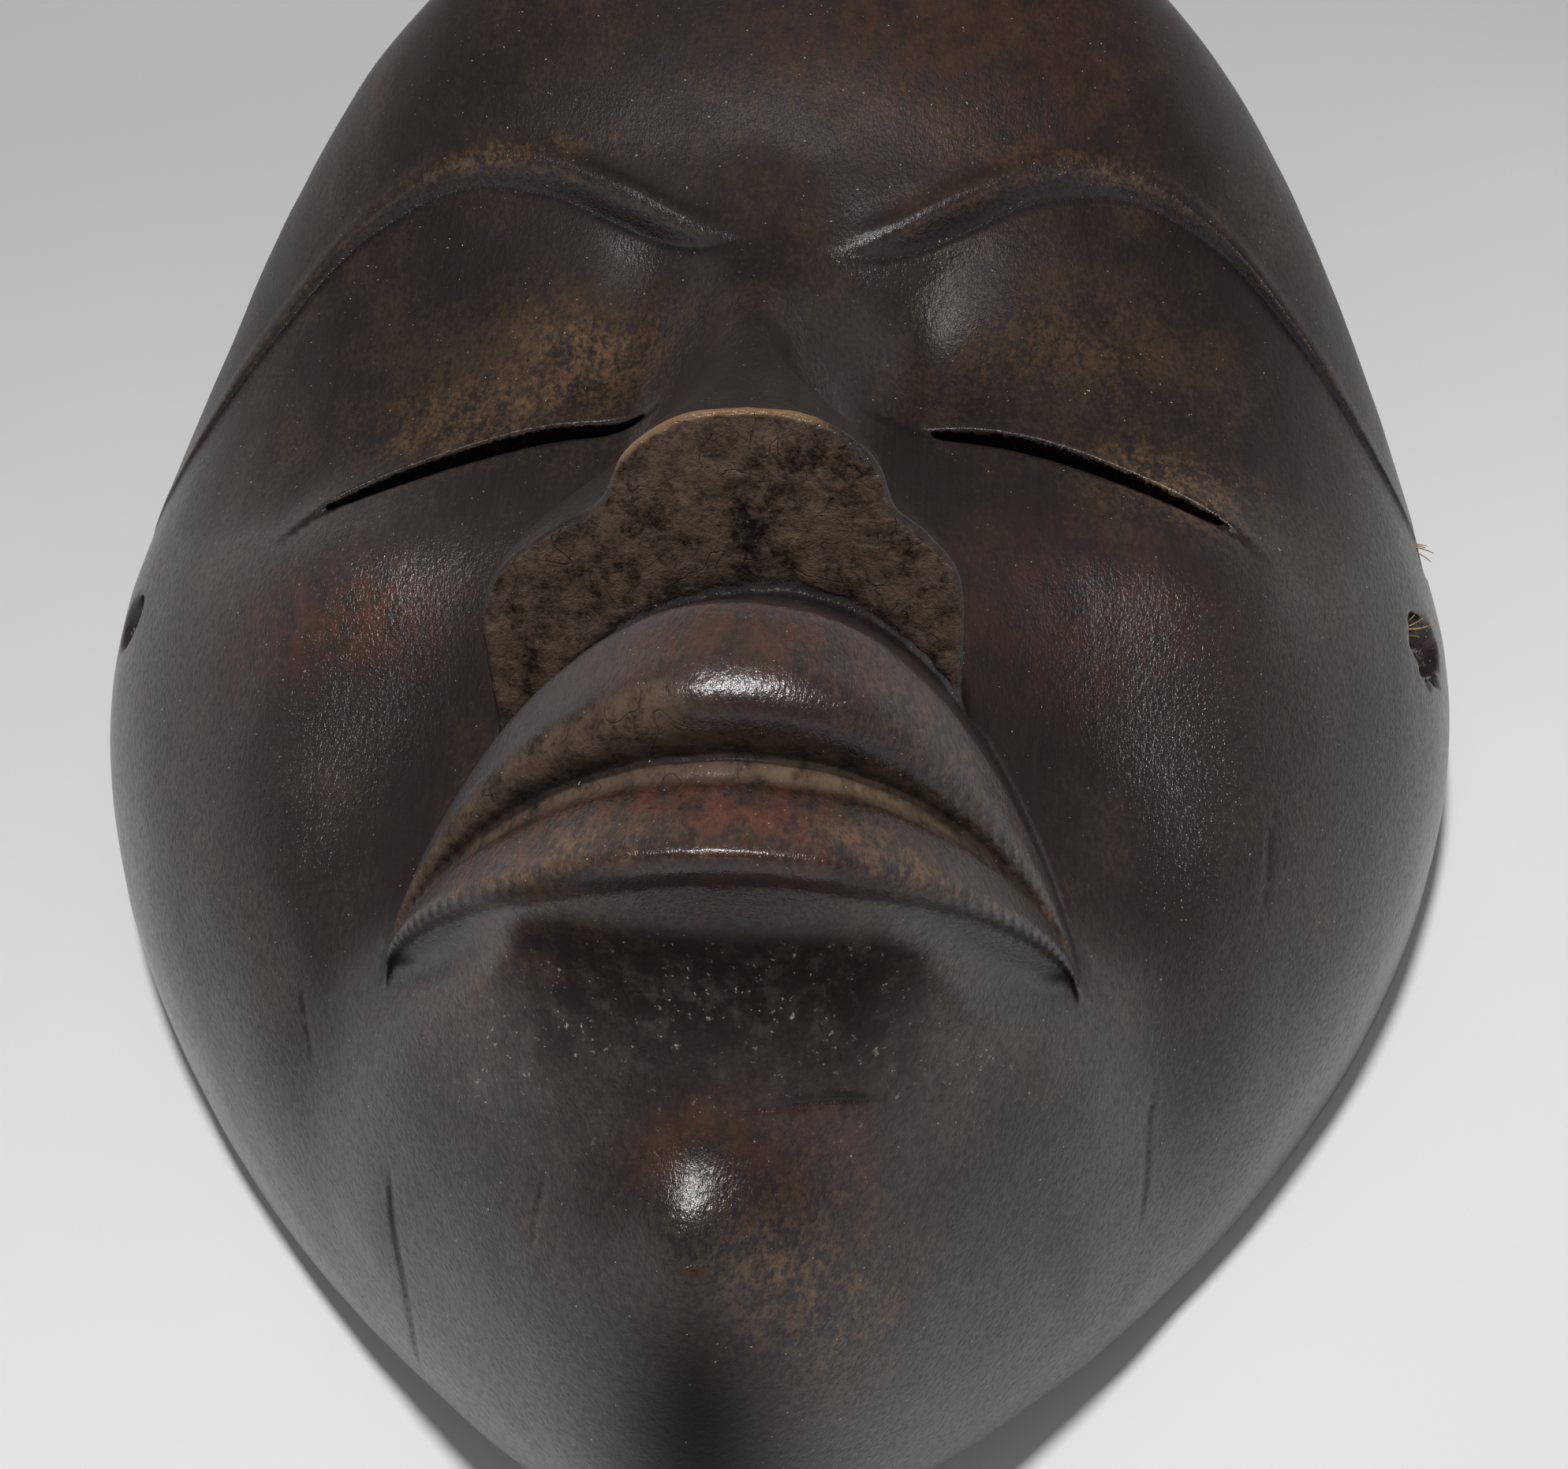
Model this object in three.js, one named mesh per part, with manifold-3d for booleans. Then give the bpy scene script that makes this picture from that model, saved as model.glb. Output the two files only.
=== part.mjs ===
// Carved wooden face mask, lying on its rim with the face up.
//
// Frame: millimetres. +X is the viewer's right when looking at the face, +Y runs up to the
// forehead and +Z comes out of the face. The origin is under the middle of the mask, on the
// surface that it lies on.
//
// The mask is one block of wood. Its shell is a domed block with a hollow cut into the back. The
// nose and the muzzle with both lips are blocks joined to it, and the eye slits and the cord
// holes are cut through it. Two bits of plant fibre are left in the cord holes of one side.

import * as THREE from 'three';
import { mergeVertices } from 'three/addons/utils/BufferGeometryUtils.js';
import Module from 'manifold-3d';

const wasm = await Module();
wasm.setup();

const { clamp, lerp, smoothstep } = THREE.MathUtils;

// ---------------------------------------------------------------- driving dimensions

const HALF_LENGTH = 119;       // forehead end at +Y, chin end at -Y
const HALF_WIDTH = 79.5;       // widest across the temples
const WIDEST_Y = -8;
const CROWN_CURVE = [1.5, 2.39];   // outline powers from the temples to the crown
const JAW_CURVE = [1.88, 1.13];    // outline powers from the temples to the chin
const END_CUT = 0.12;          // the outline stops this short of its points

const EDGE_HEIGHT = 3;         // upright band round the rim
const CHEEK_SECTION = [2.45, 2.41];  // cross-section powers across the cheeks
const CHIN_SECTION = [2.0, 1.5];     // the same powers across the chin
const CROWN_FALL = [5, 2];     // powers of the fall from the forehead to the crown
const CHIN_LIFT = 15;          // how far the rim rises off the table under the chin
const CHIN_LIFT_START = -50;

const RIM_WIDTH = 7.5;
const HOLLOW_CROWN_GAP = 8;
const HOLLOW_CHIN_GAP = 15;
const HOLLOW_SECTION = [2.2, 2];     // cross-section powers of the hollow's roof

const BROW_STEP_RUN = 0.4;     // the brow's edge drops to the eyelids over this distance

const NOSE_TIP = { y: -37.5, z: 80 };
const NOSE_ROOT = { y: 30, z: 51, halfWidth: 17, fall: 10 };
const NOSE_BASE_TILT = 0.3;    // run of the flat under the nose for each unit of height
const NOSE_BOTTOM = 36;

const MOUTH_HALF = 32;
const MOUTH_CORNER = { y: -70, z: 45 };
const UPPER_LIP = { y: -57.5, z: 78 };
const LOWER_LIP = { y: -84, z: 70 };
const LIP_ROOT = { back: 16, drop: 18 };
const MUZZLE_BOTTOM = 25;

const EYE_SLIT = { inner: 15.5, outer: 48, innerY: -7, outerY: -16.5, width: 2.4 };

const CORD_HOLE_RADIUS = 3.2;
// Each cord hole's height and place along the face, and how far out the wall is there.
const LOWER_HOLE = { y: -15.5, z: 25, wall: 73.4 };
const UPPER_HOLE = { y: 3, z: 20, wall: 76 };
const FIBRE_RADIUS = 0.35;
const FIBRE_OFFSET = 2.3;      // from the cord hole's axis to the fibre's

const WOOD = new THREE.MeshStandardMaterial({ color: 0x2f2826, roughness: 0.5, metalness: 0 });
const FIBRE = new THREE.MeshStandardMaterial({ color: 0xb79a5e, roughness: 0.85, metalness: 0 });

// ---------------------------------------------------------------- curves

/** A smooth curve through [position, value] pairs that never overshoots them. */
function profile(points) {
  const slope = points.slice(1).map((p, i) => (p[1] - points[i][1]) / (p[0] - points[i][0]));
  const tangent = points.map((_, i) => {
    if (i === 0) return slope[0];
    if (i === slope.length) return slope[i - 1];
    const [a, b] = [slope[i - 1], slope[i]];
    return a * b <= 0 ? 0 : (2 * a * b) / (a + b);
  });
  return (x) => {
    const at = clamp(x, points[0][0], points[points.length - 1][0]);
    const i = clamp(points.findIndex((p) => p[0] >= at) - 1, 0, slope.length - 1);
    const span = points[i + 1][0] - points[i][0];
    const t = (at - points[i][0]) / span;
    const value = (2 * t ** 3 - 3 * t ** 2 + 1) * points[i][1]
      + (3 * t ** 2 - 2 * t ** 3) * points[i + 1][1];
    const lean = (t ** 3 - 2 * t ** 2 + t) * tangent[i] + (t ** 3 - t ** 2) * tangent[i + 1];
    return value + lean * span;
  };
}

/** A rounded hill of height 1 at the centre, given its reach across and along. */
function hill(x, y, centreX, centreY, reachX, reachY) {
  return Math.exp(-(((x - centreX) / reachX) ** 2) - ((y - centreY) / reachY) ** 2);
}

/** Falls from 1 at t = 0 to 0 at t = 1 along a superellipse. */
function roundOff(t, [power, root]) {
  return Math.max(1 - Math.abs(t) ** power, 0) ** (1 / root);
}

// Height of the plain dome along the middle line, from the chin to the crown.
const middleLine = profile([
  [-119, 19], [-114, 27], [-108, 41], [-101, 49.5], [-92, 52], [-80, 50.5], [-62, 47],
  [-40, 47.5], [-15, 50], [5, 52.5], [24, 58.8], [42, 66.5], [62, 71], [85, 69.5], [119, 62],
]);

// Where the brow's edge runs, against the share of the half width from the middle line.
const browLine = profile([
  [0, 13.5], [0.12, 15.5], [0.25, 20.5], [0.38, 25.5], [0.52, 28], [0.66, 25], [0.8, 15.5], [0.91, 5], [1, -4],
]);

// How far the eyelids lie under the brow's edge, against the same share.
const browStep = profile([[0, 0], [0.1, 0.4], [0.22, 1.8], [0.45, 2.2], [0.7, 1.4], [1, 0.7]]);

// Height of the hollow's roof along the middle line.
const hollowLine = profile([[-104, 22], [-90, 36], [-60, 38], [0, 41], [20, 45], [50, 58], [80, 59], [111, 52]]);

function halfWidth(y, crownEnd = HALF_LENGTH, chinEnd = -HALF_LENGTH, half = HALF_WIDTH) {
  const t = y > WIDEST_Y ? (y - WIDEST_Y) / (crownEnd - WIDEST_Y) : (WIDEST_Y - y) / (WIDEST_Y - chinEnd);
  return half * roundOff(t, y > WIDEST_Y ? CROWN_CURVE : JAW_CURVE);
}

/** Height of the rim's flat back over the surface that the mask lies on. */
function rimHeight(y) {
  const t = clamp((CHIN_LIFT_START - y) / (CHIN_LIFT_START + HALF_LENGTH), 0, 1);
  return CHIN_LIFT * t ** 2.1;
}

/** The share of the middle line's height that is left at a share of the half width. */
function sectionShare(share, y) {
  const chin = smoothstep(-y, 50, 88);
  const powers = CHEEK_SECTION.map((value, i) => lerp(value, CHIN_SECTION[i], chin));
  return roundOff(share, powers);
}

/** The brow's step, cheekbones, hollow cheeks, eye sockets and lids, added to the plain dome. */
function faceCarving(x, y, share) {
  const away = Math.abs(x);
  const step = browStep(Math.abs(share)) * smoothstep(y, -25, 5);
  const cheekbone = 2.5 * hill(away, y, 45, -24, 18, 12);
  const cheekHollow = 3.5 * hill(away, y, 36, -52, 13, 18);
  const socket = 3 * hill(away, y, 15, 4, 8, 11);
  const lid = 1.6 * hill(away, y, 34, 3, 15, 9);
  return (cheekbone - cheekHollow - socket + lid) * sectionShare(share, y) - step;
}

// ---------------------------------------------------------------- solids

/** Turns a closed three.js geometry into a solid that can be joined and cut. */
function solid(geometry) {
  geometry.deleteAttribute('normal');
  geometry.deleteAttribute('uv');
  const merged = mergeVertices(geometry, 1e-4);
  const vertProperties = new Float32Array(merged.attributes.position.array);
  const triVerts = new Uint32Array(merged.index.array);
  return new wasm.Manifold(new wasm.Mesh({ numProp: 3, vertProperties, triVerts }));
}

/**
 * A box bent into shape. place gets how far across (-1 to 1), the row number along, and whether
 * the point is on the top face, and returns the point. x grows across, y along and z upward.
 */
function bentBlock(columns, rows, place) {
  const box = new THREE.BoxGeometry(2, rows, 2, columns, rows, 1);
  const position = box.attributes.position;
  for (let i = 0; i < position.count; i += 1) {
    const row = Math.round(position.getY(i) + rows / 2);
    position.setXYZ(i, ...place(position.getX(i), row, position.getZ(i) > 0));
  }
  return solid(box);
}

/** The domed block of the whole mask, with the crisp step along the brow. */
function shell() {
  const faceRows = 28;
  const foreheadRows = 13;
  const rows = faceRows + 1 + foreheadRows;
  const end = HALF_LENGTH - END_CUT;
  return bentBlock(34, rows, (across, row, top) => {
    const share = Math.sin(across * Math.PI / 2);
    const brow = browLine(Math.abs(share));
    const onForehead = row > faceRows;
    const y = onForehead
      ? lerp(brow + BROW_STEP_RUN, end, Math.sin((row - faceRows - 1) / foreheadRows * Math.PI / 2))
      : lerp(-end, brow, 1 - Math.cos(row / faceRows * Math.PI / 2) ** 1.15);
    const x = share * halfWidth(y);
    const rim = rimHeight(y);
    if (!top) return [x, y, rim];
    const middle = middleLine(y) * roundOff(Math.max(y, 0) / HALF_LENGTH, CROWN_FALL);
    const rise = Math.max(middle - rim - EDGE_HEIGHT, 0.5) * sectionShare(share, y);
    return [x, y, rim + EDGE_HEIGHT + rise + (onForehead ? 0 : faceCarving(x, y, share))];
  });
}

/** The hollow in the back. */
function hollow() {
  const rows = 26;
  const crown = HALF_LENGTH - HOLLOW_CROWN_GAP;
  const chin = -HALF_LENGTH + HOLLOW_CHIN_GAP;
  return bentBlock(22, rows, (across, row, top) => {
    const share = Math.sin(across * Math.PI / 2);
    const y = lerp(chin + END_CUT, crown - END_CUT, (1 - Math.cos(row / rows * Math.PI)) / 2);
    const x = share * halfWidth(y, crown, chin, HALF_WIDTH - RIM_WIDTH);
    if (!top) return [x, y, -10];
    const roof = hollowLine(y) * roundOff(Math.max(y, 0) / crown, CROWN_FALL);
    return [x, y, rimHeight(y) + 0.5 + roof * roundOff(share, HOLLOW_SECTION)];
  });
}

/** The nose, with a ridge, two wings and a flat cut under it. */
function nose() {
  const rows = 11;
  const outline = new THREE.SplineCurve([
    new THREE.Vector2(0, NOSE_TIP.z), new THREE.Vector2(5.5, 79), new THREE.Vector2(10.3, 75),
    new THREE.Vector2(12.8, 69.8), new THREE.Vector2(17, 67.3), new THREE.Vector2(21.4, 63),
    new THREE.Vector2(22.7, 57), new THREE.Vector2(22.4, 45),
  ]);
  return bentBlock(24, rows, (across, row, top) => {
    const along = row / rows;
    const away = Math.abs(across);
    const base = outline.getPoint(away);
    const root = new THREE.Vector2(NOSE_ROOT.halfWidth * away, NOSE_ROOT.z - NOSE_ROOT.fall * away ** 1.5);
    const x = Math.sign(across) * lerp(base.x, root.x, smoothstep(along, 0, 0.45));
    const z = top ? lerp(base.y, root.y, 1 - (1 - along) ** 1.3) : NOSE_BOTTOM;
    const lean = NOSE_BASE_TILT * (NOSE_TIP.z - z) * (1 - along);
    return [x, lerp(NOSE_TIP.y, NOSE_ROOT.y, along) - lean, z];
  });
}

// The lips' profile from the lower lip's edge up to the upper lip's crest: how far down the mouth,
// 0 at the crest and 1 at the lower edge, and how high over the straight line between the two.
const LIP_PROFILE = [
  [1, 0], [0.93, 1.4], [0.8, 2.3], [0.68, 1.4], [0.62, -0.3], [0.54, -2.4], [0.43, -4.4],
  [0.41, -2.9], [0.345, 0], [0.28, 2], [0.18, 3], [0.08, 2.1], [0, 0],
];

/** The muzzle: both lips with the recess between them, and the upright wall under them. */
function muzzle() {
  const rows = LIP_PROFILE.length;
  return bentBlock(30, rows, (across, row, top) => {
    const share = Math.sin(across * Math.PI / 2);
    const away = Math.abs(share);
    const swell = 1 - away ** 2;
    const crest = {
      y: lerp(UPPER_LIP.y, MOUTH_CORNER.y, away ** 2.6),
      z: lerp(MOUTH_CORNER.z, UPPER_LIP.z, swell ** 0.8),
    };
    const edge = {
      y: lerp(LOWER_LIP.y, MOUTH_CORNER.y - 1, away ** 2.2),
      z: lerp(MOUTH_CORNER.z, LOWER_LIP.z, swell ** 0.7),
    };
    const x = share * MOUTH_HALF;
    if (row === rows) return [x, crest.y + LIP_ROOT.back, top ? crest.z - LIP_ROOT.drop : 0];
    const [down, height] = LIP_PROFILE[row];
    const z = lerp(crest.z, edge.z, down) + height * swell ** 0.6;
    return [x, lerp(crest.y, edge.y, down), top ? z : Math.min(MUZZLE_BOTTOM, z - 5)];
  });
}

/** The narrow slit of one eye; side is 1 or -1. */
function eyeSlit(side) {
  const { inner, outer, innerY, outerY, width } = EYE_SLIT;
  return bentBlock(14, 2, (across, row, top) => {
    const outward = (1 + side * across) / 2;
    const gape = width * Math.sqrt(Math.max(1 - across ** 2, 0.02));
    const upperLid = lerp(innerY, outerY, outward ** 1.7);
    return [side * lerp(inner, outer, outward), upperLid - gape * (1 - row / 2), top ? 90 : -5];
  });
}

/** One cord hole through the side wall near the rim. */
function cordHole(side, hole) {
  const bore = new THREE.CylinderGeometry(CORD_HOLE_RADIUS, CORD_HOLE_RADIUS, 40, 18);
  bore.rotateZ(Math.PI / 2);
  bore.translate(side * (HALF_WIDTH - 8), hole.y, hole.z);
  return solid(bore);
}

function maskBody() {
  let wood = shell().add(nose()).add(muzzle()).subtract(hollow());
  for (const side of [-1, 1]) {
    wood = wood.subtract(eyeSlit(side));
    for (const hole of [LOWER_HOLE, UPPER_HOLE]) wood = wood.subtract(cordHole(side, hole));
  }
  const { vertProperties, triVerts } = wood.getMesh();
  const geometry = new THREE.BufferGeometry();
  geometry.setAttribute('position', new THREE.Float32BufferAttribute(vertProperties, 3));
  geometry.setIndex(new THREE.Uint32BufferAttribute(triVerts, 1));
  geometry.computeVertexNormals();
  return geometry;
}

/** A bit of fibre lying along the top of a right-hand cord hole, curling at its outer end. */
function fibre(hole, curl) {
  const z = hole.z + FIBRE_OFFSET;
  const path = new THREE.CatmullRomCurve3([
    new THREE.Vector3(hole.wall - 6, hole.y - 0.4 * curl, z - 0.1),
    new THREE.Vector3(hole.wall - 3.5, hole.y + 0.2 * curl, z),
    new THREE.Vector3(hole.wall - 1, hole.y, z - 0.1),
    new THREE.Vector3(hole.wall + 1.2, hole.y + 0.7 * curl, z - 0.2),
  ]);
  const section = new THREE.Shape();
  section.absarc(0, 0, FIBRE_RADIUS, 0, Math.PI * 2);
  return new THREE.ExtrudeGeometry(section, { steps: 8, curveSegments: 4, extrudePath: path });
}

// ---------------------------------------------------------------- assembly

function part(name, geometry, material) {
  const mesh = new THREE.Mesh(geometry, material);
  mesh.name = name;
  return mesh;
}

const group = new THREE.Group();
group.add(part('mask_body', maskBody(), WOOD));
group.add(part('fibre_lower_hole', fibre(LOWER_HOLE, 1), FIBRE));
group.add(part('fibre_upper_hole', fibre(UPPER_HOLE, -1), FIBRE));

export default group;
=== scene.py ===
"""A carved wooden face mask lying on its rim, seen from the chin end.

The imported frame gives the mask's place and size. Its wooden surface is carved here at full
detail: every part of the face is a signed distance in millimetres, joined with the carver's
fillets, meshed, and given procedural wood, wear and dust.
"""
import math

import bmesh
import bpy
import numpy as np
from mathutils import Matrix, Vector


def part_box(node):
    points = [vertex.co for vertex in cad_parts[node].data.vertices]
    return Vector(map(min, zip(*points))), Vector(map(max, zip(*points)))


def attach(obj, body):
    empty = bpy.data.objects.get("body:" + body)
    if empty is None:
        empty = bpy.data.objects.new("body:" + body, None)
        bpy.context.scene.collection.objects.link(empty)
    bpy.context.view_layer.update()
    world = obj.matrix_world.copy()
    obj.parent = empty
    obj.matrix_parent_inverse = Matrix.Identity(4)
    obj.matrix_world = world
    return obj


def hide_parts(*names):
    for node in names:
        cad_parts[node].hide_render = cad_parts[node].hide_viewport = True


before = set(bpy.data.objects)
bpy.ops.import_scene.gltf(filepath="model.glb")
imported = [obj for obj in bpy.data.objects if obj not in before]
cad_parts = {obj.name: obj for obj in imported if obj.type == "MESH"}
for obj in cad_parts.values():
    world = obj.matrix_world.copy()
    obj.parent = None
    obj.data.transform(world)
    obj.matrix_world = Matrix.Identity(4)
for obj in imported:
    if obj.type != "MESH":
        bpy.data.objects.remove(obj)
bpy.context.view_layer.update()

import openvdb
from mathutils import Matrix, Vector

MM = 0.001
BODY = "root"

# ------------------------------------------------------------------ driving sizes, in mm

BODY_LOW, BODY_HIGH = (np.array(corner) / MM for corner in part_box("mask_body"))
HALF_WIDTH = BODY_HIGH[0]
HALF_LENGTH = BODY_HIGH[1]
WIDEST_Y = -8.0
CROWN_CURVE = (1.5, 2.39)
JAW_CURVE = (1.88, 1.13)

EDGE_HEIGHT = 3.0
CHEEK_SECTION = (2.45, 2.41)
CHIN_SECTION = (2.0, 1.5)
CROWN_FALL = (5.0, 2.0)
CHIN_LIFT = 15.0
CHIN_LIFT_START = -50.0
CHIN_LIFT_POWER = 2.1

RIM_WIDTH = 7.5
HOLLOW_CROWN_GAP = 8.0
HOLLOW_CHIN_GAP = 15.0
HOLLOW_SECTION = (2.2, 2.0)

NOSE_TIP_Y, NOSE_TIP_Z = -37.2, 80.0
NOSE_ROOT_Y, NOSE_ROOT_Z = 30.0, 51.0
NOSE_ROOT_HALF, NOSE_ROOT_FALL = 12.0, 9.0
NOSE_BASE_TILT = 0.3
NOSE_OUTLINE = [
    (0, 80), (6, 79.2), (11.2, 75.6), (13.6, 70.6), (17.4, 67.8), (21.6, 63.5), (22.9, 57), (22.4, 45),
]

MOUTH_HALF = 32.0
MOUTH_CORNER_Y, MOUTH_CORNER_Z = -71.0, 41.5
UPPER_LIP_Y, UPPER_LIP_Z = -57.5, 78.0
LOWER_LIP_Y, LOWER_LIP_Z = -82.5, 73.2
LIP_ROOT_BACK, LIP_ROOT_DROP = 16.0, 18.0
CREST_CURVE, LIP_EDGE_CURVE = 2.6, 2.2       # how the lips' lines turn down to the corners
CORNER_DROP = 1.5
MOUTH_BOW, MOUTH_SHIFT = 2.2, 0.4            # how far the mouth sits off the mask's middle

EYE_INNER, EYE_OUTER = 15.5, 48.0
EYE_INNER_Y, EYE_OUTER_Y = -7.0, -16.5
EYE_GAPE = 0.6

HOLE_RADIUS = 3.1
HOLES = [(-15.5, 25.0), (3.0, 20.0)]        # each cord hole's y and z, the same on both sides

MESH_STEP = 0.65      # the size of the mesh's faces


# ------------------------------------------------------------------ curves and blends

def profile(points):
    """A smooth curve through (position, value) pairs that never overshoots them."""
    at, value = np.array(points, dtype=float).T
    span = np.diff(at)
    slope = np.diff(value) / span
    lean = np.concatenate([slope[:1], np.zeros(len(slope) - 1), slope[-1:]])
    product = slope[:-1] * slope[1:]
    same_way = product > 0
    lean[1:-1][same_way] = 2 * product[same_way] / (slope[:-1] + slope[1:])[same_way]

    def curve(x):
        x = np.clip(x, at[0], at[-1])
        i = np.clip(np.searchsorted(at, x, side="right") - 1, 0, len(span) - 1)
        t = (x - at[i]) / span[i]
        ends = (2 * t**3 - 3 * t**2 + 1) * value[i] + (3 * t**2 - 2 * t**3) * value[i + 1]
        leans = (t**3 - 2 * t**2 + t) * lean[i] + (t**3 - t**2) * lean[i + 1]
        return ends + leans * span[i]

    return curve


def ramp(x, start, end):
    """Goes smoothly from 0 at start to 1 at end."""
    t = np.clip((x - start) / (end - start), 0, 1)
    return t * t * (3 - 2 * t)


def mix(a, b, t):
    return a + (b - a) * t


def hill(x, y, centre_x, centre_y, reach_x, reach_y):
    return np.exp(-((x - centre_x) / reach_x) ** 2 - ((y - centre_y) / reach_y) ** 2)


def round_off(t, powers):
    """Falls from 1 at t = 0 to 0 at t = 1 along a superellipse."""
    return np.maximum(1 - np.abs(t) ** powers[0], 0) ** (1 / powers[1])


def join(a, b, fillet):
    """The union of two distances with a fillet of about that size."""
    h = np.maximum(fillet - np.abs(a - b), 0) / fillet
    return np.minimum(a, b) - h * h * fillet / 4


def cut(a, b, fillet):
    """The part of a that is outside b, with its edge rounded."""
    return -join(-a, b, fillet)


def overlap(a, b, fillet):
    return -join(-a, -b, fillet)


def noise(x, y, z, size, seed):
    """Smooth noise from -1 to 1 with lumps of the given size (one number, or one for each axis)."""
    cells = 32
    lattice = np.random.default_rng(seed).uniform(-1, 1, (cells, cells, cells)).astype(np.float32)
    sizes = (size, size, size) if np.isscalar(size) else size
    index, part = [], []
    for axis, length in zip((x, y, z), sizes):
        at = np.asarray(axis, dtype=np.float32) / length + 1000.37
        whole = np.floor(at)
        t = at - whole
        index.append(whole.astype(np.int64) % cells)
        part.append(t * t * (3 - 2 * t))
    total = 0.0
    for i in (0, 1):
        for j in (0, 1):
            for k in (0, 1):
                corner = lattice[(index[0] + i) % cells, (index[1] + j) % cells, (index[2] + k) % cells]
                share = (part[0] if i else 1 - part[0]) * (part[1] if j else 1 - part[1])
                total = total + corner * share * (part[2] if k else 1 - part[2])
    return total


# ------------------------------------------------------------------ the mask's lines

middle_line = profile([
    (-119, 19), (-114, 28), (-108, 40.5), (-104, 45.5), (-100, 48.2), (-95, 50.2), (-90, 52.5), (-80, 55),
    (-62, 47), (-40, 47.5), (-15, 50), (5, 52.5), (24, 58.8), (42, 66.5), (62, 71), (85, 69.5), (119, 62),
])
brow_line = profile([
    (0, 13.5), (0.12, 15.5), (0.25, 20.5), (0.38, 25.5), (0.52, 28), (0.66, 25), (0.8, 15.5),
    (0.91, 5), (1, -4),
])
brow_step = profile([(0, 0), (0.1, 0.4), (0.22, 1.8), (0.45, 2.2), (0.7, 1.4), (1, 0.7)])
midline = profile([(-119, 0), (-104, -0.6), (-82, 1.6), (-60, 2.3), (-38, 1.6), (0, 3), (18, 2.6), (60, 0)])
hollow_line = profile([
    (-104, 22), (-90, 36), (-60, 38), (0, 41), (20, 45), (50, 58), (80, 59), (111, 52),
])


def half_width(y, crown=None, chin=None, half=None):
    crown = HALF_LENGTH if crown is None else crown
    chin = -HALF_LENGTH if chin is None else chin
    half = HALF_WIDTH if half is None else half
    up = round_off(np.clip((y - WIDEST_Y) / (crown - WIDEST_Y), 0, 1), CROWN_CURVE)
    down = round_off(np.clip((WIDEST_Y - y) / (WIDEST_Y - chin), 0, 1), JAW_CURVE)
    return half * np.where(y > WIDEST_Y, up, down)


def rim_height(y):
    t = np.clip((CHIN_LIFT_START - y) / (CHIN_LIFT_START + HALF_LENGTH), 0, 1)
    return CHIN_LIFT * t**CHIN_LIFT_POWER


def centred(x, y):
    """The distance across from the face's own middle line, which wanders off the mask's."""
    return x - midline(y) * np.maximum(1 - (x / 75) ** 2, 0)


def mouth_lines(x, y):
    """The place across the mouth in mm and as a share, the lower lip's edge, and the share down the lips."""
    x = x - MOUTH_BOW * np.maximum(1 - (x / MOUTH_HALF) ** 2, 0) - MOUTH_SHIFT
    away = np.minimum(np.abs(x) / MOUTH_HALF, 1)
    crest = mix(UPPER_LIP_Y, MOUTH_CORNER_Y, away**CREST_CURVE)
    edge = mix(LOWER_LIP_Y, MOUTH_CORNER_Y - CORNER_DROP, away**LIP_EDGE_CURVE)
    return x, away, edge, (y - crest) / (edge - crest)


def lid_edge(x):
    """Where the upper eyelid's edge runs."""
    outward = np.clip((np.abs(x) - EYE_INNER) / (EYE_OUTER - EYE_INNER), -0.3, 1.3)
    return mix(EYE_INNER_Y, EYE_OUTER_Y, np.sign(outward) * np.abs(outward) ** 1.7)


# ------------------------------------------------------------------ distances, negative in wood

# Soft swellings and pits: the height or depth, then the centre's x and y and the reach along x and y.
CHEEKBONE = (2.5, 45, -24, 18, 12)
CHEEK_HOLLOW = (3.5, 36, -52, 13, 18)
SOCKET = (3.0, 15, 4, 8, 11)
LID = (1.6, 34, 3, 15, 9)
CHIN_KNOB = (2.0, -0.5, -103.5, 5, 7)
CORNER_PIT = (5.5, 40, -76, 8, 9)


def swelling(x, y, shape):
    height, *place = shape
    return height * hill(x, y, *place)


def carving(x, y, share):
    """How far the carved face stands over the plain dome, up the Z axis."""
    away = np.abs(x)
    below = brow_line(share) - y
    under_brow = ramp(below, -0.5, 5)
    cheekbone = swelling(away, y, CHEEKBONE)
    cheek_hollow = swelling(away, y, CHEEK_HOLLOW)
    socket = swelling(away, y, SOCKET)
    lid = swelling(away, y, LID)
    step = brow_step(share)
    drop = step * ramp(y, -25, 5) * ramp(below, -0.3, 0.9)
    inner = ramp(share, 0.06, 0.14) * ramp(-share, -0.5, -0.2)
    bead = (0.2 * step + 0.45 * inner) * np.exp(-((below + 1.3) / 1.5) ** 2)
    bead = bead - 0.5 * inner * np.exp(-((below - 0.9) / 0.7) ** 2)
    from_slit = y - lid_edge(x)
    along_slit = ramp(away, 12, 20) * ramp(-away, -54, -46)
    lid_roll = 0.6 * along_slit * np.exp(-(np.maximum(from_slit, 0) / 5.0) ** 2) * ramp(from_slit, -1.2, 0)
    lens = np.sqrt(np.maximum(1 - ((away - 31) / 15) ** 2, 0))
    lower_bevel = 0.6 * lens * ramp(from_slit, -1.0 - 1.4 * lens, -0.8) * ramp(-from_slit, -0.6, 0)
    crease = 0.8 * ramp(away, 12.5, 16) * ramp(-away, -51.5, -46) * np.exp(-((from_slit + 0.3) / 0.55) ** 2)
    chin_knob = swelling(x, y, CHIN_KNOB)
    corner_pit = swelling(away, y, CORNER_PIT)
    shaped = (cheekbone - cheek_hollow - socket + lid) * under_brow
    return shaped - drop + bead + lid_roll - lower_bevel - crease + chin_knob - corner_pit


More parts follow.
